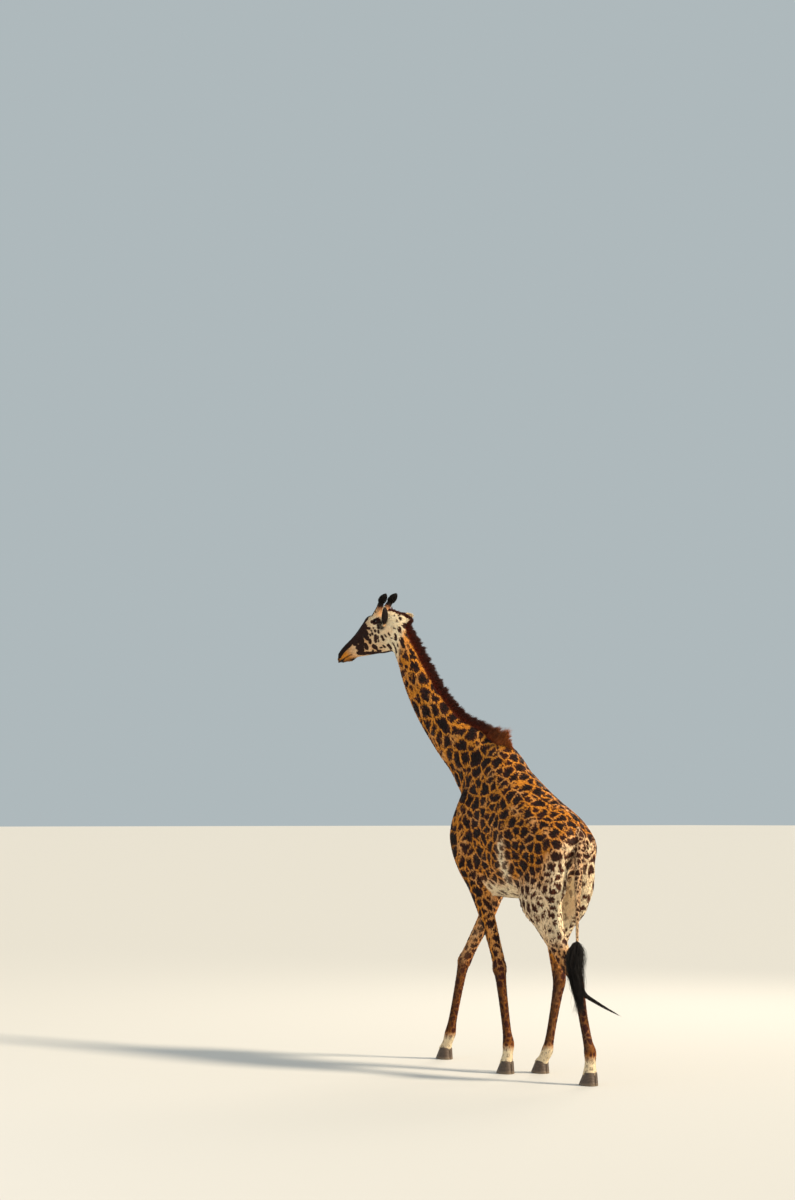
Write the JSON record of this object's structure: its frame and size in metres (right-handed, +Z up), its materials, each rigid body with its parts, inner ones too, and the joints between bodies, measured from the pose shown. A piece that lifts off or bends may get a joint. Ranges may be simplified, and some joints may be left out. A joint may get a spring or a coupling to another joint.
{
  "type": "giraffe",
  "caption": "Life-size Masai giraffe cow in a slow walk, head held a little low and turned left, tail hanging; a still model with blotched coat, short mane and dark-tufted horns.",
  "frame": {"origin": "middle of the whole animal's footprint box, on the floor", "axes": "+Z up from the floor, +Y to the tail end, +X to the animal's left"},
  "size_m": [0.8292, 3.1896, 4.1545],
  "materials": {
    "short_coat": "hide with short flat hair: near-black brown blotches on tan and cream, red-brown mane",
    "ear_coat": "thin hide with short hair, pale hairs inside the cup",
    "dark_hair": "long coarse black-brown hair",
    "hoof_horn": "satin grey-brown horn",
    "eye": "wet, glossy, dark brown"
  },
  "bodies": {
    "root": {"torso": "short_coat", "neck_lower": "short_coat", "neck_upper": "short_coat", "head": "short_coat", "ossicone_tuft_left": "dark_hair", "eye_left": "eye", "ear_left": "ear_coat", "ossicone_tuft_right": "dark_hair", "eye_right": "eye", "ear_right": "ear_coat", "leg_hind_left": "short_coat", "claw_hind_left_left": "hoof_horn", "claw_hind_left_right": "hoof_horn", "leg_hind_right": "short_coat", "claw_hind_right_left": "hoof_horn", "claw_hind_right_right": "hoof_horn", "leg_fore_left": "short_coat", "claw_fore_left_left": "hoof_horn", "claw_fore_left_right": "hoof_horn", "leg_fore_right": "short_coat", "claw_fore_right_left": "hoof_horn", "claw_fore_right_right": "hoof_horn", "tail_dock": "short_coat", "tail_tuft": "dark_hair"}
  },
  "joints": []
}
